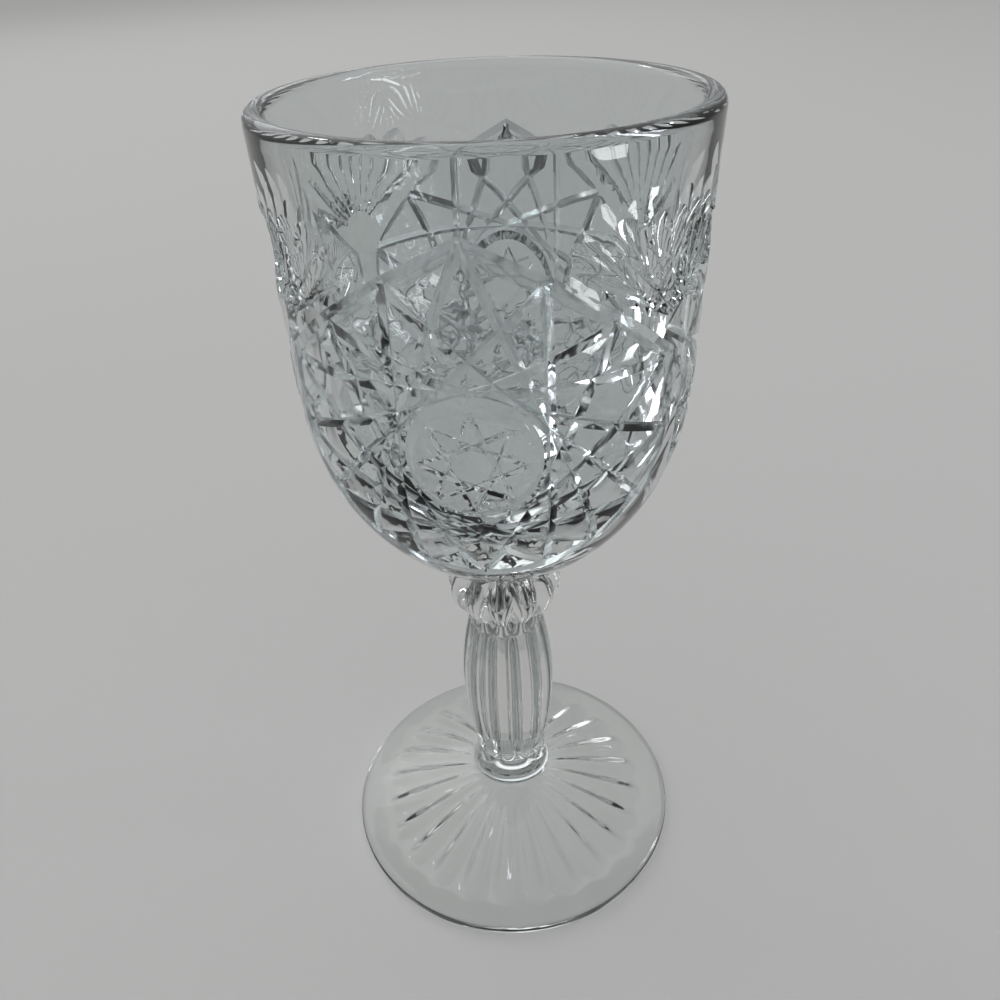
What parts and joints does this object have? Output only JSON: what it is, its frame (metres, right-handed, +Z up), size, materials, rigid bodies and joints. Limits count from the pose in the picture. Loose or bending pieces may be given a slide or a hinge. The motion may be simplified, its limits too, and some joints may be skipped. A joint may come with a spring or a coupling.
{
  "type": "wine goblet",
  "caption": "Clear glass stemmed wine goblet: rounded bowl cut with star panels and fans, ribbed collar and stem, round foot rayed underneath.",
  "frame": {"origin": "centre of the foot's standing ring, on the surface that the goblet stands on", "axes": "+Z up along the goblet's axis, -Y towards the middle of one wide star panel"},
  "size_m": [0.075, 0.075, 0.162],
  "materials": {
    "clear_glass": "clear gloss"
  },
  "bodies": {
    "root": {"foot": "clear_glass", "stem": "clear_glass", "collar": "clear_glass", "bowl": "clear_glass"}
  },
  "joints": []
}
